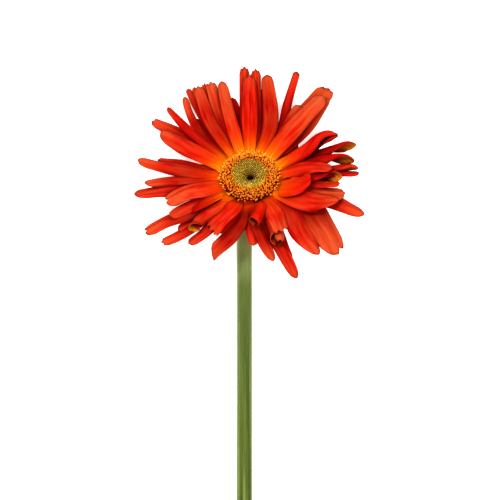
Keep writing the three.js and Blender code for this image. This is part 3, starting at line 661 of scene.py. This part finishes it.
# Clockwise from the top, as the bloom is seen
petals = [
    petal("inner", 7.6, (60, 110), (0, 31, 1.5), (0, 48.5, 2), teeth=0.5, tone=0.25),
    petal("outer", 5.7, (60, 110), (-2, 33, -3), (-2.5, 53.5, 0), teeth=0.9, tone=0.4),
    petal("middle", 5.7, (60, 90), (3, 32, -4), (3, 52.5, -0.5), teeth=0.9, tone=0.3),
    petal("outer", 4.0, (60, 90), (1.5, 30, -10), (1.5, 50, -2), tone=-0.5),
    petal("middle", 7.4, (60, 130), (10, 24.5, -0.5), (8.5, 49, 0.5), tone=0.5),
    petal("outer", 4.8, (100, 190), (15.5, 23.5, -4), (18.5, 36, -4), (23, 51, -3), taper=0.7, tone=0.2),
    petal("inner", 9.5, (50, 90), (25.3, 28, 1), (35.6, 38.8, 0), tip=0.7, tone=0.95),
    petal("middle", 6.0, (50, 80), (16, 22.5, -3), (24.2, 34.4, -3), tip=0.5, tone=0.6),
    petal("outer", 11.4, (40, -40), (25.8, 28.6, -5), (38.8, 43.5, -6.95), teeth=0.8, tip=0.5, tone=0.9),
    petal("outer", 5, (60, 130), (25.2, 20.2, -4), (38, 37.8, -6), tone=0.9),
    petal(
        "inner", 7.0, (230, 354),
        (21.5, 9.2, -0.5), (28.2, 13.8, 0.3), (32.3, 17.2, 0.8), (36.8, 19.1, 0.6), (42.5, 19.6, 0),
        twist=140, turn_from=0.0, taper=0.72, tip=0.1, close=0.75, tone=0.15, lip=2.0,
    ),
    petal(
        "outer", 6.8, (90, 210), (27, 9, -4), (38.5, 13.3, -4), (47, 15.2, -4.5), (51, 13.6, -6),
        twist=97, turn_from=0.4, taper=0.8, tip=1.1, tone=-0.15,
    ),
    petal(
        "middle", 6.8, (90, 210), (28, 6, -3), (38.5, 9, -3), (46, 8.6, -3.5), (49.6, 6, -5),
        twist=104, turn_from=0.4, taper=0.85, tip=1.0, tone=0.1,
    ),
    petal(
        "middle", 4.2, (80, 210), (36, 3.2, -5), (46, 4.2, -5), (50, 4.2, -4.5), (51.7, 3, -5),
        twist=102, turn_from=0.6, taper=0.95, tip=0.5, close=0.3, tone=0.2,
    ),
    petal("outer", 4.8, (60, 120), (36, 1.5, -6), (52.5, 1.3, -8), tip=1.2, tone=0.1),
    petal(
        "inner", 7.6, (60, 110), (24, 3.5, 0), (32.5, 4.5, 0.5), (39.5, 3.2, -0.5),
        tip=1.1, foot=4, tone=0.2,
    ),
    petal(
        "inner", 11.5, (50, 80), (19.5, -5, 1.5), (26, -3, 2.3), (31.2, 2, 2.5),
        taper=0.75, tip=0.6, skew=6.5, foot=2, tone=0.0,
    ),
    petal(
        "middle", 7.6, (90, 200), (32.5, 0, -5), (39, 0.8, -5), (43.6, -1.8, -6),
        twist=116, turn_from=0.3, taper=0.95, tip=0.9, foot=6, tone=0.0,
    ),
    petal("outer", 4.4, (60, 100), (32.5, -4, -3.5), (43, -4, -2.5), foot=6, tone=0.3),
    petal(
        "inner", 11.4, (40, 60), (27.5, -12, -1), (42.6, -11.5, -4),
        taper=0.6, tip=1.5, foot=1, tone=0.35,
    ),
    petal("outer", 6.2, (30, 40), (24, -14, -6), (33, -16, -8), taper=0.9, tip=0.2, foot=6, tone=0.2),
    petal("outer", 8.0, (50, 70), (32.5, -8.4, -4), (45.5, -8.7, -7), teeth=0.7, tip=0.5, tone=0.9),
    petal(
        "outer", 9.6, (60, 130), (38.5, -11, -9), (47, -15, -10), (54.5, -19, -12),
        taper=0.7, tip=1.7, tone=0.4,
    ),
    petal(
        "outer", 15, (20, 50), (27, -14, -7), (34, -23, -10.5), (42.2, -37.6, -14.8),
        notch=2.6, notch_at=-0.35, taper=0.85, tip=0.6, foot=6, tone=0.8,
    ),
    petal(
        "middle", 10.8, (40, 90), (19, -14.5, -3.5), (24, -26, -8), (32.8, -37.7, -14),
        taper=0.75, tip=1.6, foot=6, tone=0.4,
    ),
    petal(
        "inner", 8.6, (50, 70), (12, -18.5, -3), (15.5, -27, -7),
        teeth=1.2, taper=0.95, tip=0.2, foot=5, tone=0.6,
    ),
    petal(
        "middle", 6.6, (60, 358),
        (11, -20.5, -9.3), (12.9, -26, -11.6), (13.3, -30, -10.8), (13.3, -31.2, -10.6),
        taper=1.0, tip=0.1, mouth=3.2, foot=5, tone=0.95, lip=0.45, lining=0.0,
    ),
    petal(
        "middle", 4.4, (60, 350),
        (11, -20.5, -9.6), (13.3, -26, -11.6), (14.3, -29.2, -9.6), (14.5, -31.2, -8.4),
        taper=1.0, tip=0.5, close=0.75, foot=5, tone=1.0, lip=2.0,
    ),
    petal(
        "outer", 6.4, (60, 130), (9, -24, -12.5), (16, -36.5, -19), (22.5, -49, -25),
        tip=1.8, foot=8, tone=0.25,
    ),
    petal("outer", 5.2, (50, 90), (12.5, -23.5, -12), (19.5, -40, -22), foot=8, tone=-0.45),
    petal(
        "outer", 6.2, (60, 130), (3.7, -24, -13), (7, -32, -16), (11.5, -40.7, -21),
        tip=1.8, foot=9, tone=0.6,
    ),
    petal("outer", 6.7, (50, 80), (1, -22, -13), (2, -33.5, -17), foot=9, tone=0.2),
    petal(
        "inner", 6.0, (60, 330), (5.4, -14, -2.0), (3.9, -18, -2.0), (1.1, -22.6, -2.5),
        taper=0.9, tip=0.2, mouth=1.6, twist=-8, foot=8, tone=0.1, lip=0.78, lining=0.0,
    ),
    petal(
        "outer", 7.6, (60, 90),
        (-4, -20, -10), (-8, -27.5, -14), (-13.2, -33.2, -18), (-20.2, -39.8, -23),
        twist=30, turn_from=0.5, taper=1.1, tip=0.3, skew=6, foot=8, tone=0.6,
    ),
    petal(
        "middle", 4.8, (50, 80), (-5.5, -14, -5), (-9.5, -21, -8), (-15, -27.5, -11),
        foot=8, tone=-0.1,
    ),
    petal(
        "inner", 7.6, (50, 60), (-7, -14.6, -1.4), (-12.8, -20.4, -3.5), (-18.9, -26.2, -8),
        teeth=1.4, taper=1.1, tip=0.15, foot=8, tone=0.3,
    ),
    petal(
        "inner", 7.0, (60, 180),
        (-13, -14, -3.5), (-20.5, -18, -5.5), (-25.5, -21.8, -7.5), (-27.8, -26.4, -9),
        twist=-120, turn_from=0.75, tip=0.5, taper=0.85, foot=3, tone=0.5,
    ),
    petal("outer", 6.2, (50, 90), (-16, -21, -9), (-22, -27.5, -13), (-29, -32.5, -16), tone=0.3),
    petal("outer", 5.7, (60, 90), (-26, -24, -10), (-35, -29, -14), (-42, -32, -17), teeth=0.8, tone=0.4),
    petal(
        "middle", 4.4, (60, 90), (-17, -11, -2.5), (-23.5, -14.2, -3), (-28.6, -17.3, -6),
        tip=1.2, foot=1, tone=-0.2,
    ),
    petal(
        "outer", 7.6, (50, 90), (-30.5, -18, -7), (-40, -22, -11), (-50, -27.5, -15),
        notch=2, foot=6, tone=0.6,
    ),
    petal(
        "middle", 6.7, (60, 90), (-22, -11.5, -3.5), (-30, -15.5, -5.5), (-38, -19.5, -8),
        foot=6, tone=0.3,
    ),
    petal(
        "inner", 9.0, (50, 80), (-19.5, -6, -1.5), (-28.5, -7.5, -2), (-40, -13, -5),
        notch=2, tip=0.6, foot=5, tone=0.7,
    ),
    petal("outer", 7.1, (60, 120), (-33, -6, -5), (-45, -7.5, -7), (-55, -9, -9), tip=1.2, tone=0.3),
    petal(
        "middle", 5.7, (60, 140), (-28.5, -1.5, -3), (-40.5, -2.5, -5), (-50, -3.8, -6),
        tip=1.2, foot=3, tone=0.6,
    ),
    petal(
        "middle", 6.7, (60, 130), (-28.5, 2, -2.5), (-43, 5, -5), (-53.5, 7.7, -7),
        tip=1.2, foot=3, tone=0.5,
    ),
    petal("outer", 5.2, (50, 80), (-28.5, 5, -5), (-44, 7.5, -8), tone=0.3),
    petal("inner", 8.8, (50, 120), (-28.5, 13, 0), (-42.5, 21, -3), tip=0.9, tone=0.4),
    petal("outer", 6.7, (60, 120), (-31.5, 19.5, -4), (-47, 27, -7), notch=1.6, tone=0.5),
    petal(
        "middle", 4.5, (60, 160), (-21.5, 15.5, -0.5), (-30, 23, -1), (-39.5, 33, -3),
        taper=0.7, tip=1.2, tone=0.1,
    ),
    petal(
        "outer", 4.3, (60, 150), (-22, 18.5, -4), (-28.5, 29.5, -5), (-31.5, 38.5, -6),
        tip=1.2, tone=0.5,
    ),
    petal("outer", 3.8, (60, 110), (-19, 22.5, -5), (-26, 34.5, -6), (-30, 43, -7), teeth=0.6, tone=0.2),
    petal("outer", 3.8, (60, 90), (-20.5, 26.5, -5), (-27, 43.5, -7.4), teeth=0.6, tone=0.2),
    petal("middle", 6.2, (50, 100), (-18.5, 26, -1), (-25, 43.5, -3), teeth=0.6, tone=0.5),
    petal("outer", 4.3, (60, 90), (-17, 29, -4), (-22, 45.5, -5), teeth=0.8, tone=0.4),
    petal("middle", 7.1, (50, 80), (-13.5, 27, -2.5), (-19, 46, -1.5), teeth=0.9, tip=0.4, tone=0.8),
    petal("inner", 6.4, (60, 110), (-9, 27, 1.5), (-13.5, 46, 0), tip=0.9, tone=0.9),
    # Lower petals, seen only in the gaps between the others
    petal("outer", 5.7, (60, 100), (-5, 26, -6), (-8.5, 38, -6), tone=-0.2),
    petal("outer", 5.5, (50, 80), (-20, 19.5, -5), (-26.5, 27.5, -7), tone=0.0),
    petal("outer", 4.5, (50, 80), (6.5, 28, -5), (6.5, 43, -4), tone=0.0),
    petal("outer", 6, (50, 80), (19, 12, -5), (23, 15, -6), tone=0.2),
    petal("outer", 6, (50, 80), (-3.5, -19, -11), (-4, -27, -15), foot=8, tone=0.0),
    petal("outer", 6, (50, 80), (-24, -20, -9), (-34, -26, -13), tone=0.2),
    petal("outer", 6, (50, 80), (28, -10, -6), (38, -12.5, -8), tone=0.2),
]


def seen_from_above(x, y, rise):
    """A place in the bloom's own frame, from where it is seen and its rise over the disc's plane."""
    return np.array([x, (y - rise * sin_tilt) / cos_tilt, rise])


def smooth_curve(knots, steps):
    """Points at even distances on a centripetal Catmull-Rom curve through the knots."""
    knots = [2 * knots[0] - knots[1], *knots, 2 * knots[-1] - knots[-2]]
    dense = []
    for a, b, c, d in zip(knots, knots[1:], knots[2:], knots[3:]):
        before, here, after = (math.sqrt(np.linalg.norm(q - p)) for p, q in ((a, b), (b, c), (c, d)))
        leaving = ((b - a) / before - (c - a) / (before + here) + (c - b) / here) * here
        arriving = ((c - b) / here - (d - b) / (here + after) + (d - c) / after) * here
        for t in np.arange(0, 1, 0.02):
            dense.append(
                (2 * t ** 3 - 3 * t ** 2 + 1) * b + (t ** 3 - 2 * t ** 2 + t) * leaving
                + (3 * t ** 2 - 2 * t ** 3) * c + (t ** 3 - t ** 2) * arriving
            )
    dense = np.array([*dense, knots[-2]])
    travelled = np.concatenate([[0], np.cumsum(np.linalg.norm(np.diff(dense, axis=0), axis=1))])
    length = travelled[-1]
    stations = np.linspace(0, length, steps + 1)
    return np.stack([np.interp(stations, travelled, dense[:, k]) for k in range(3)], axis=-1), length


def petal_spine(shape):
    """A petal's middle line from its root in the core, and the directions along it and up from it."""
    knots = [seen_from_above(*place) for place in shape["path"]]
    outward = knots[0] * (1, 1, 0) / np.linalg.norm(knots[0][:2])
    root = outward * petal_root_radius + (0, 0, buried_rise[shape["row"]])
    rim = outward * petal_rim_radius + (0, 0, rim_rise[shape["row"]])
    spine, length = smooth_curve([root, rim, *knots], spine_steps)
    tangents = np.gradient(spine, axis=0)
    tangents /= np.linalg.norm(tangents, axis=1, keepdims=True)
    normals = []
    normal = np.array([0.0, 0.0, 1.0])
    for tangent in tangents:
        normal = normal - tangent * (normal @ tangent)
        normal = normal / np.linalg.norm(normal)
        normals.append(normal)
    return spine, tangents, np.array(normals), length


def petal_reach(shape, across, length, draw):
    """How far along the petal each of its lengthwise lines runs, which gives its end its outline."""
    tip_share = min(shape["tip"] * shape["width"] / length, 0.4)
    tooth_depth = shape["teeth"] * draw.uniform(0.8, 1.3)
    teeth = (0.5 - 0.5 * np.cos(3 * np.pi * across)) * (np.abs(across) < 0.9)
    from_notch = np.abs(across - shape["notch_at"])
    reach = 1 - tip_share * (1 - np.sqrt(1 - np.minimum(np.abs(across), 0.985) ** 2.2))
    reach = reach - tooth_depth / length * teeth
    reach = reach - shape["notch"] / length * np.maximum(0, 1 - from_notch / 0.3)
    reach = reach - shape["mouth"] / length * (1 - np.abs(across) ** 1.5)
    return reach - shape["skew"] / length * (0.5 + 0.5 * across)


def petal_part(shape, draw):
    """One petal's two faces, with how far along, across and out from the disc each point is."""
    spine, tangents, normals, length = petal_spine(shape)
    across = np.linspace(-1, 1, petal_columns)
    share = np.linspace(0, 1, petal_steps + 1)
    t = share[:, None] * petal_reach(shape, across, length, draw)[None, :]
    u = np.broadcast_to(across, t.shape)
    station = t * spine_steps

    def at(values):
        low = np.minimum(station.astype(int), spine_steps - 1)
        part = (station - low)[..., None]
        return values[low] * (1 - part) + values[low + 1] * part

    middle, tangent, upward = at(spine), at(tangents), at(normals)
    sideways = np.cross(tangent, upward)

    # Width along the petal, and the arch or roll across it
    wave_one, wave_two = draw.uniform(*wave_phases), draw.uniform(*wave_phases)
    fullness = foot_width + (1 - foot_width) * smooth_step(0, full_width_at, t)
    fullness = fullness * (1 - (1 - shape["taper"]) * smooth_step(0.5, 1, t))
    fullness = fullness * (1 - shape["close"] * smooth_step(0.84, 1, t) ** 2)
    fullness = fullness * (1 + 0.03 * np.sin(7 * t + wave_one))
    roll_foot, roll_tip = shape["roll"]
    arch = np.radians(roll_foot + (roll_tip - roll_foot) * smooth_step(0.1, 0.9, t))
    arch = arch + np.radians(roll_waver) * np.sin(9 * t + wave_two) * smooth_step(0.1, 0.4, t)
    sign = np.sign(arch)
    half = np.abs(arch) / 2
    radius = sign * shape["width"] * fullness / 2 / np.sin(np.minimum(half, math.pi / 2))
    angle = u * half * sign
    side = radius * np.sin(angle)
    lift = radius * (np.cos(angle) - 1) + 0.4 * radius * (1 - np.cos(half))

    # Two lengthwise creases, and the ripple of blade and edges
    creases = np.zeros_like(t)
    for place in crease_places:
        line = place + draw.uniform(-0.12, 0.12) + 0.08 * np.sin(4 * t + draw.uniform(*wave_phases))
        creases += draw.uniform(0.1, 0.9) * np.exp(-((u - line) / crease_width) ** 2)
    # Painted shade along both edges, standing in for the thin shadows where petals overlap
    outline = smooth_step(0.8, 1.0, np.abs(u))
    ripple = 0.4 * u ** 3 * np.sin(11 * t + wave_two) + 0.25 * np.sin(5 * t + wave_one)
    lift = lift + smooth_step(0.08, 0.3, t) * (ripple - crease_depth * creases)

    # The twist, and the painted shade inside a roll, dark from its foot to its lip and along one edge
    turn = np.radians(shape["twist"] + draw.uniform(-6, 6))
    turn = turn * smooth_step(shape["turn_from"], 0.95, t)
    along_side = side * np.cos(turn) - lift * np.sin(turn)
    along_up = side * np.sin(turn) + lift * np.cos(turn)
    surface = middle + sideways * along_side[..., None] + upward * along_up[..., None]
    points, faces, under = blade_shell(surface, petal_thickness)
    rolled = 1.0 if roll_tip >= 180 else 0.0
    inside = 1 - smooth_step(shape["lip"], shape["lip"] + 0.28, t)
    inside = rolled * np.maximum(inside, 0.8 - 0.8 * smooth_step(-1.0, -0.2, u))
    return points, faces, {
        "along": np.tile(t.ravel(), 2),
        "across": np.tile(u.ravel(), 2) * shape["width"] / 2,
        "spread": np.hypot(points[:, 0], points[:, 1]) + shape["foot"],
        "tone": shape["tone"] + draw.uniform(-0.08, 0.08),
        "under": under,
        "groove": np.tile((creases + outline).ravel(), 2),
        "shade": row_shade[shape["row"]],
        "hollow": rolled * shape["lining"],
        "inside": np.tile(inside.ravel(), 2),
    }


def painted_occlusion_shade(tree, colour, reach, depth, darkest=(60, 0, 0)):
    """The colour, darkened by painted shade where other surfaces lie close over it."""
    openness = node(tree, "ShaderNodeAmbientOcclusion", {"Distance": reach}, samples=8).outputs["AO"]
    shut = maths(tree, "POWER", maths(tree, "SUBTRACT", 1.0, openness), 0.8)
    return mix(tree, maths(tree, "MULTIPLY", shut, depth), colour, srgb(*darkest))


def petal_material():
    material, tree, shader = new_material("orange-red petal")
    along, across, spread, tone = (
        attribute(tree, name) for name in ("along", "across", "spread", "tone")
    )

    # Lengthwise streaks and veins of deeper and brighter red, and painted shade that makes a petal darker
    # still at a tone below 0
    shifted = maths(tree, "MULTIPLY_ADD", tone, 40.0, across)
    veins = stretched_noise(tree, shifted, along, 1.5, 1.8, 4.0)
    streaks = stretched_noise(tree, shifted, along, 0.5, 3.5, 1.0)
    deep = ramp(tree, streaks, [(0.35, srgb(166, 0, 0)), (0.65, srgb(206, 8, 4))])
    bright = ramp(tree, streaks, [(0.35, srgb(196, 24, 4)), (0.65, srgb(204, 98, 56))])
    vein_tones = ramp(tree, veins, [(0.38, srgb(146, 0, 0)), (0.6, srgb(220, 78, 46))])
    red = mix(tree, 0.26, mix(tree, tone, deep, bright), vein_tones)
    red = mix(tree, maths(tree, "MULTIPLY", tone, -1.2), red, srgb(96, 0, 2))

    # Painted shade: darker where the rows above would shade it and along its creases and edges; paler
    # towards a bright tip
    covered_shade_share = ramp(tree, along, [
        (0.06, (0.1, 0.1, 0.1, 1)),
        (0.2, (0.8, 0.8, 0.8, 1)),
        (0.4, (0.8, 0.8, 0.8, 1)),
        (0.8, (0, 0, 0, 1)),
    ])
    painted_row_shade = maths(tree, "MULTIPLY", attribute(tree, "shade"), covered_shade_share)
    red = mix(tree, painted_row_shade, red, srgb(104, 0, 0))
    glow = maths(tree, "DIVIDE", maths(tree, "MULTIPLY_ADD", tone, 0.4, along), 1.4)
    red = mix(tree, rising(tree, glow, 0.6, 0.9, 0.7), red, srgb(200, 98, 58))
    # Painted shade in the creases and along the edges
    red = mix(tree, maths(tree, "MULTIPLY", attribute(tree, "groove"), 0.32), red, srgb(130, 0, 0))
    # Painted shade, a deeper red wherever other petals lie within 12 mm over it
    red = painted_occlusion_shade(tree, red, 12 * MM, 0.75, (138, 0, 0))

    # The orange foot, whose border is ragged where it meets the veins
    wobble = maths(tree, "DIVIDE", maths(tree, "MULTIPLY_ADD", veins, 12.0, spread), 60.0)
    foot_share = ramp(tree, wobble, [
        (0.36, (1, 1, 1, 1)),
        (0.46, (0.6, 0.6, 0.6, 1)),
        (0.66, (0, 0, 0, 1)),
    ])
    foot = ramp(tree, wobble, [
        (0.33, srgb(226, 152, 16)),
        (0.37, srgb(221, 114, 6)),
        (0.46, srgb(210, 76, 4)),
        (0.58, srgb(196, 42, 2)),
    ])
    upper = mix(tree, foot_share, red, foot)

    # The duller underside, which in a rolled petal is ochre near the lip and painted dark with shade
    # further in
    back = ramp(tree, veins, [(0.3, srgb(190, 60, 22)), (0.7, srgb(212, 102, 50))])
    lining = ramp(tree, veins, [(0.3, srgb(190, 106, 12)), (0.7, srgb(232, 154, 46))])
    lower = mix(tree, attribute(tree, "hollow"), back, lining)
    lower = mix(tree, attribute(tree, "inside"), lower, srgb(92, 6, 2))
    # Painted shade where other surfaces lie close over the underside
    lower = painted_occlusion_shade(tree, lower, 6 * MM, 0.5)
    colour = mix(tree, attribute(tree, "under"), upper, lower)
    plug(tree, shader, {
        # Painted shade in the narrow gaps close over each petal, none at its foot
        "Base Color": painted_occlusion_shade(tree, colour, 3 * MM, rising(tree, along, 0.06, 0.2)),
        "Normal": bump(tree, veins, 0.6, 0.25 * MM),
        "Roughness": 0.45,
        "Specular IOR Level": 0.03,
        "Subsurface Weight": 0.08,
        "Subsurface Radius": (1.0, 0.2, 0.06),
        "Subsurface Scale": 0.8 * MM,
    })
    return material


# The flat round core of the receptacle, and the petals grown out of its side
petal_random = random.Random(11)
core_bevel = 0.3
core_profile = [
    (axis_pin_hole, core_bottom),
    (core_radius, core_bottom + core_bevel),
    (core_radius, core_top - core_bevel),
    (axis_pin_hole, core_top),
]
core_values = dict.fromkeys(("along", "across", "under", "groove", "hollow", "inside"), 0.0)
core_values.update({"spread": 24.0, "tone": 0.5, "shade": 0.2})
parts = [(*turned_form(core_profile, cup_sides), core_values)]
parts += [petal_part(shape, petal_random) for shape in petals]
points, faces, values = joined_parts(parts)
ray_petals = make_piece(
    "orange_red_ray_petals", from_head(points), faces, petal_material(), values,
)
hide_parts("ray_petals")


# Disc florets. The ring of opened florets round the middle: small fleshy orange tubes with
# a paler flared mouth and a knob in it, packed in spirals on a raised bed. The nearer a floret
# stands to the rim, the further it leans outward.
floret_inner, floret_outer = 8.9, 13.3
first_floret_radius, last_floret_radius = floret_inner - 0.7, floret_outer - 0.3
bed_foot_inset, bed_rim_rise, bed_sink = 0.4, 1.5, 0.1
bed_sides = 60
floret_count = 640
floret_sides = 10
golden_angle = math.pi * (3 - math.sqrt(5))
# Radius, height and level of colour of a floret's rings, from its foot to the top of its knob
floret_rings = [
    (0.22, -0.9, 0.0), (0.26, 0.1, 0.3), (0.30, 0.62, 0.7), (0.50, 0.88, 1.0),
    (0.34, 0.86, 0.55), (0.17, 0.7, 0.2), (0.16, 1.1, 0.9), (0.05, 1.2, 1.0),
]
mouth_rings = (3, 4)
mouth_lobes, lobe_depth = 5, 0.22


def floret_bed(radius):
    """Height of the bed that the florets stand on, which falls away towards its rim."""
    share = np.clip((radius - floret_inner) / (floret_outer - floret_inner), 0, 1)
    return 0.9 - 2.1 * share ** 1.6


def leaning(points, lean, swing):
    """A form that stands on the disc, tipped by the angle lean towards the direction swing."""
    direction = np.array([
        math.cos(swing) * math.sin(lean),
        math.sin(swing) * math.sin(lean),
        math.cos(lean),
    ])
    side = np.cross((0.0, 0.0, 1.0), direction)
    size = np.linalg.norm(side)
    side = side / size if size > 1e-6 else np.array([1.0, 0.0, 0.0])
    return points @ np.stack([side, np.cross(direction, side), direction])


def floret_part(k, draw):
    """One opened floret, with its level of colour and its own tone."""
    share = (k + 0.5) / floret_count
    first_area, last_area = first_floret_radius ** 2, last_floret_radius ** 2
    radius = math.sqrt(first_area + share * (last_area - first_area)) + draw.uniform(-0.15, 0.15)
    angle = k * golden_angle + draw.uniform(-0.03, 0.03)
    outness = (radius - floret_inner) / (floret_outer - floret_inner)
    droop = 46 * smooth_step(0.75, 0.95, outness)
    lean = math.radians(-14 + 42 * outness + droop + draw.uniform(-9, 9))
    swing = angle + math.radians(draw.uniform(-12, 12))
    width = draw.uniform(0.55, 0.92) * (0.75 + 0.25 * outness)
    height = draw.uniform(0.7, 2.1) + 0.6 * outness
    around = 2 * np.pi * np.arange(floret_sides) / floret_sides
    lobes = 1 + lobe_depth * np.cos(mouth_lobes * around)
    profile = [
        (r * width * (lobes if index in mouth_rings else 1), z * height if z > 0 else z)
        for index, (r, z, _) in enumerate(floret_rings)
    ]
    points, faces = turned_form(profile, floret_sides)
    foot = (radius * math.cos(angle), radius * math.sin(angle), float(floret_bed(radius)))
    return leaning(points, lean, swing) + foot, faces, {
        "level": np.repeat([level for _, _, level in floret_rings], floret_sides),
        "tone": draw.random(),
    }


def floret_material():
    material, tree, shader = new_material("orange disc floret")
    level, tone = attribute(tree, "level"), attribute(tree, "tone")
    grain = node(tree, "ShaderNodeTexNoise", {"Scale": 1800.0, "Detail": 2.0}).outputs["Fac"]
    # Dark red-brown at the foot and on the bed, painted shade down between the florets; paler towards the
    # mouth and knob
    orange_floret = ramp(tree, level, [
        (0.0, srgb(96, 6, 0)),
        (0.3, srgb(192, 48, 0)),
        (0.7, srgb(246, 114, 4)),
        (0.85, srgb(255, 200, 48)),
        (1.0, srgb(255, 242, 124)),
    ])
    red_floret = ramp(tree, level, [
        (0.2, srgb(170, 16, 0)),
        (0.75, srgb(232, 84, 4)),
        (1.0, srgb(255, 174, 40)),
    ])
    plug(tree, shader, {
        "Base Color": mix(tree, rising(tree, tone, 0.5, 0.85, 0.7), orange_floret, red_floret),
        "Normal": bump(tree, grain, 0.3, 0.1 * MM),
        "Roughness": 0.42,
        "Specular IOR Level": 0.08,
        "Subsurface Weight": 0.1,
        "Subsurface Radius": (1.0, 0.4, 0.1),
        "Subsurface Scale": 0.4 * MM,
    })
    return material


floret_random = random.Random(7)
bed_bottom = core_top + seat_gap
bed_profile = [
    (floret_inner, bed_bottom),
    (core_radius - bed_foot_inset, bed_bottom),
    (floret_outer, bed_bottom + bed_rim_rise),
]
for radius in np.linspace(floret_outer, floret_inner, 10):
    bed_profile.append((float(radius), float(floret_bed(radius)) - bed_sink))
bed_profile.append((floret_inner, bed_bottom))
parts = [(*turned_form(bed_profile, bed_sides), {"level": 0.0, "tone": 0.5})]
parts += [floret_part(k, floret_random) for k in range(floret_count)]
points, faces, values = joined_parts(parts)
florets = make_piece(
    "orange_disc_florets", from_head(points), faces, floret_material(), values,
)
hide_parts("disc_florets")


# Disc centre. The shallow bowl of florets still closed: small yellow-green buds with blunt
# tops, packed in the sunflower's spirals, sinking to a dark dimple in the middle.
centre_radius = 8.6
centre_rim_rise, bowl_depth = 1.7, 2.2
dimple_depth, dimple_radius = 2.0, 2
dimple_offset, dimple_offset_fade = (0.5, -0.8), 16
bud_count = 420
last_bud_radius = centre_radius - 0.25
bud_sides = 8
# Radius, height and level of colour of a bud's rings, from its foot to its top
bud_rings = [
    (0.18, -0.4, 0.0), (0.22, 0.2, 0.3), (0.25, 0.6, 0.6), (0.16, 0.84, 0.9), (0.02, 0.9, 1.0),
]


def centre_height(radius):
    """Height of the bowl that the buds stand on."""
    share = radius / centre_radius
    dimple = dimple_depth * np.exp(-((radius / dimple_radius) ** 2))
    return centre_rim_rise - bowl_depth * (1 - share ** 2) - dimple


def bud_part(k, draw):
    """One closed bud, with its level of colour, its own tone and its share of the way out."""
    radius = last_bud_radius * math.sqrt((k + 0.5) / bud_count)
    angle = k * golden_angle
    slope = float(centre_height(radius + 0.05) - centre_height(radius - 0.05)) / 0.1
    lean = math.atan(-slope) * 0.8 + math.radians(draw.uniform(-8, 8))
    width = draw.uniform(0.75, 1.05)
    height = draw.uniform(0.6, 1.6) * (0.4 + 0.6 * min(radius / 3, 1))
    points, faces = turned_form([(r * width, z * height) for r, z, _ in bud_rings], bud_sides)
    foot = (radius * math.cos(angle), radius * math.sin(angle), float(centre_height(radius)) - 0.1)
    return leaning(points, lean, angle) + foot, faces, {
        "level": np.repeat([level for _, _, level in bud_rings], bud_sides),
        "tone": draw.random(),
        "outness": radius / centre_radius,
    }


def centre_material():
    material, tree, shader = new_material("yellow-green buds")
    level, tone, outness = (attribute(tree, name) for name in ("level", "tone", "outness"))
    # Dark olive-brown at the foot and on the bowl, painted shade down between the buds; pale at the tops
    colour = ramp(tree, level, [
        (0.0, srgb(92, 56, 2)),
        (0.4, srgb(172, 138, 10)),
        (0.9, srgb(255, 234, 128)),
    ])
    colour = mix(tree, maths(tree, "MULTIPLY", tone, 0.7), colour, srgb(152, 120, 6))
    colour = mix(tree, falling(tree, outness, 0.15, 0.5, 0.8), colour, srgb(84, 42, 4))
    plug(tree, shader, {
        # Near black in the middle, the dark of the dimple deepened with painted shade
        "Base Color": mix(tree, falling(tree, outness, 0.16, 0.28), colour, srgb(14, 3, 3)),
        "Roughness": 0.6,
        "Specular IOR Level": 0.15,
    })
    return material


centre_random = random.Random(5)
dome_radii = np.linspace(centre_radius, axis_pin_hole, 24)
dome_profile = [(axis_pin_hole, bed_bottom), (centre_radius, bed_bottom)]
dome_profile += [(float(radius), float(centre_height(radius))) for radius in dome_radii]
dome_outness = np.repeat([0.0, 1.0, *(dome_radii / centre_radius)], bed_sides)
dome_values = {"level": 0.0, "tone": 0.5, "outness": dome_outness}
parts = [(*turned_form(dome_profile, bed_sides), dome_values)]
parts += [bud_part(k, centre_random) for k in range(bud_count)]
points, faces, values = joined_parts(parts)
from_axis_squared = points[:, :1] ** 2 + points[:, 1:2] ** 2
points[:, :2] += dimple_offset * np.exp(-from_axis_squared / dimple_offset_fade)
disc_centre = make_piece(
    "yellow_green_disc_centre", from_head(points), faces, centre_material(), values,
)
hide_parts("disc_centre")
